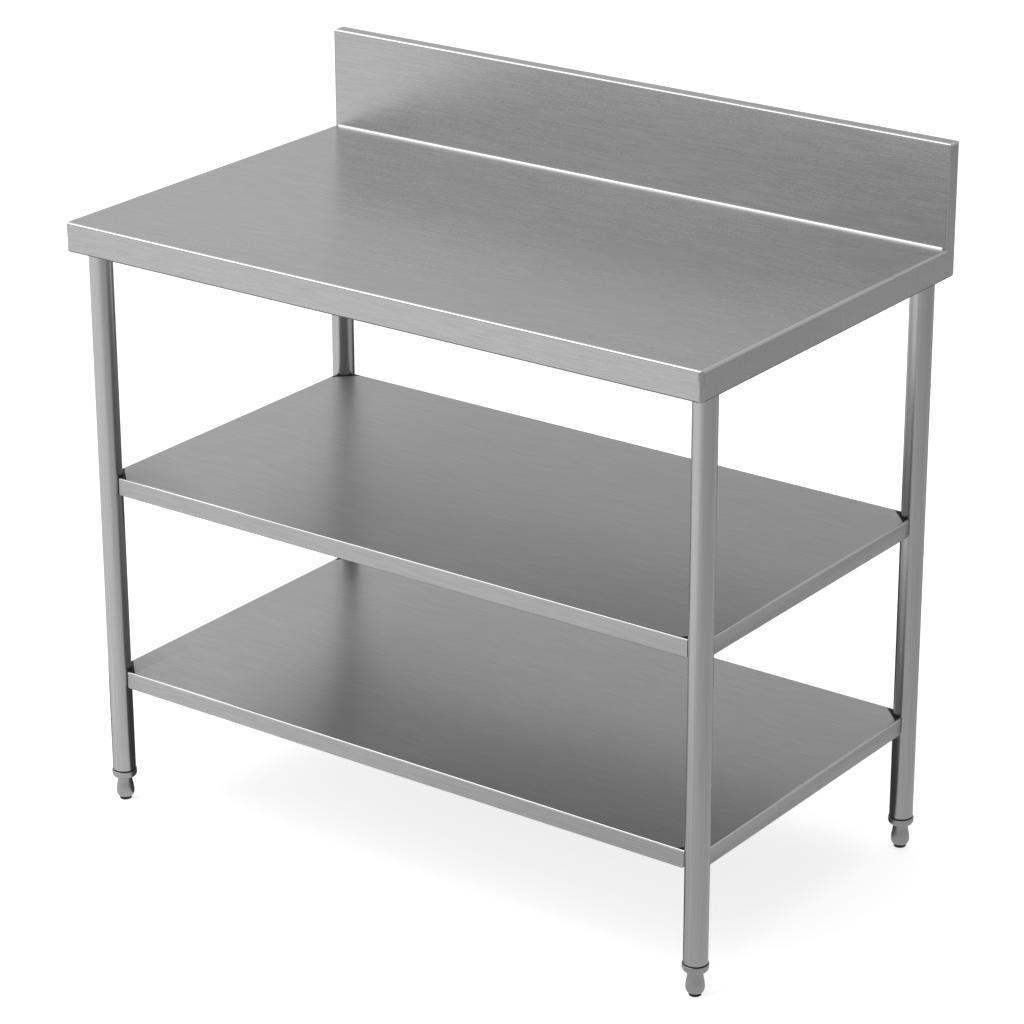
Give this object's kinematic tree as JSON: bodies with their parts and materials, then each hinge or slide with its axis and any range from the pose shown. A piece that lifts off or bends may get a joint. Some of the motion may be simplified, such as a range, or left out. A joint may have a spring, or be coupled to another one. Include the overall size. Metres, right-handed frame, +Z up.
{
  "type": "stainless work table",
  "caption": "Stainless work table with a boxed splashback, round tube legs, height-adjustable undershelves and levelling bullet feet.",
  "frame": {"origin": "on the floor plane under the middle of the table", "axes": "+X along the length to the right as seen from the front, +Y to the splashback, +Z up"},
  "size_m": [1, 0.59, 0.99],
  "materials": {
    "worktop_steel": "satin stainless, grain along the length",
    "shelf_steel": "satin stainless, grain along the length",
    "tube_steel": "fine satin stainless tube",
    "channel_steel": "mill-finish pressed steel",
    "foot_alloy": "turned satin metal",
    "saddle_alloy": "dark cast alloy",
    "screw_steel": "dark steel",
    "pad_rubber": "matt black"
  },
  "bodies": {
    "frame": {"worktop_sheet": "worktop_steel", "end_channel_left": "channel_steel", "end_channel_right": "channel_steel", "long_channel_front": "channel_steel", "long_channel_back": "channel_steel", "leg_socket_front_left": "channel_steel", "leg_tube_front_left": "tube_steel", "socket_screw_front_left": "screw_steel", "foot_insert_front_left": "foot_alloy", "leg_socket_front_right": "channel_steel", "leg_tube_front_right": "tube_steel", "socket_screw_front_right": "screw_steel", "foot_insert_front_right": "foot_alloy", "leg_socket_back_left": "channel_steel", "leg_tube_back_left": "tube_steel", "socket_screw_back_left": "screw_steel", "foot_insert_back_left": "foot_alloy", "leg_socket_back_right": "channel_steel", "leg_tube_back_right": "tube_steel", "socket_screw_back_right": "screw_steel", "foot_insert_back_right": "foot_alloy"},
    "undershelf_upper": {"shelf_upper": "shelf_steel", "shelf_upper_channel": "channel_steel", "shelf_upper_saddle_front_left": "saddle_alloy", "shelf_upper_saddle_front_right": "saddle_alloy", "shelf_upper_saddle_back_left": "saddle_alloy", "shelf_upper_saddle_back_right": "saddle_alloy", "shelf_upper_screw_front_left": "screw_steel", "shelf_upper_screw_front_right": "screw_steel", "shelf_upper_screw_back_left": "screw_steel", "shelf_upper_screw_back_right": "screw_steel"},
    "undershelf_lower": {"shelf_lower": "shelf_steel", "shelf_lower_channel": "channel_steel", "shelf_lower_saddle_front_left": "saddle_alloy", "shelf_lower_saddle_front_right": "saddle_alloy", "shelf_lower_saddle_back_left": "saddle_alloy", "shelf_lower_saddle_back_right": "saddle_alloy", "shelf_lower_screw_front_left": "screw_steel", "shelf_lower_screw_front_right": "screw_steel", "shelf_lower_screw_back_left": "screw_steel", "shelf_lower_screw_back_right": "screw_steel"},
    "pad_front_left": {"foot_pad_front_left": "pad_rubber"},
    "bullet_front_left": {"bullet_foot_front_left": "foot_alloy"},
    "pad_front_right": {"foot_pad_front_right": "pad_rubber"},
    "bullet_front_right": {"bullet_foot_front_right": "foot_alloy"},
    "pad_back_left": {"foot_pad_back_left": "pad_rubber"},
    "bullet_back_left": {"bullet_foot_back_left": "foot_alloy"},
    "pad_back_right": {"foot_pad_back_right": "pad_rubber"},
    "bullet_back_right": {"bullet_foot_back_right": "foot_alloy"}
  },
  "joints": [
    {"name": "upper_shelf_height", "type": "slide", "parent": "frame", "child": "undershelf_upper", "axis": [0, 0, 1], "range_m": [-0.1, 0.2]},
    {"name": "lower_shelf_height", "type": "slide", "parent": "frame", "child": "undershelf_lower", "axis": [0, 0, 1], "range_m": [-0.08, 0.1]},
    {"name": "foot_travel_front_left", "type": "slide", "parent": "frame", "child": "pad_front_left", "axis": [0, 0, -1], "range_m": [0, 0.025]},
    {"name": "foot_turn_front_left", "type": "hinge", "parent": "pad_front_left", "child": "bullet_front_left", "pos_m": [-0.478, -0.253, 0.02], "axis": [0, 0, -1], "range_deg": [0, 6001]},
    {"name": "foot_travel_front_right", "type": "slide", "parent": "frame", "child": "pad_front_right", "axis": [0, 0, -1], "range_m": [0, 0.025]},
    {"name": "foot_turn_front_right", "type": "hinge", "parent": "pad_front_right", "child": "bullet_front_right", "pos_m": [0.478, -0.253, 0.02], "axis": [0, 0, -1], "range_deg": [0, 6001]},
    {"name": "foot_travel_back_left", "type": "slide", "parent": "frame", "child": "pad_back_left", "axis": [0, 0, -1], "range_m": [0, 0.025]},
    {"name": "foot_turn_back_left", "type": "hinge", "parent": "pad_back_left", "child": "bullet_back_left", "pos_m": [-0.478, 0.253, 0.02], "axis": [0, 0, -1], "range_deg": [0, 6001]},
    {"name": "foot_travel_back_right", "type": "slide", "parent": "frame", "child": "pad_back_right", "axis": [0, 0, -1], "range_m": [0, 0.025]},
    {"name": "foot_turn_back_right", "type": "hinge", "parent": "pad_back_right", "child": "bullet_back_right", "pos_m": [0.478, 0.253, 0.02], "axis": [0, 0, -1], "range_deg": [0, 6001]}
  ],
  "couplings": [
    {"joint": "foot_turn_front_left", "follows": "foot_travel_front_left", "rad_per_m": 4188.8},
    {"joint": "foot_turn_front_right", "follows": "foot_travel_front_right", "rad_per_m": 4188.8},
    {"joint": "foot_turn_back_left", "follows": "foot_travel_back_left", "rad_per_m": 4188.8},
    {"joint": "foot_turn_back_right", "follows": "foot_travel_back_right", "rad_per_m": 4188.8}
  ]
}
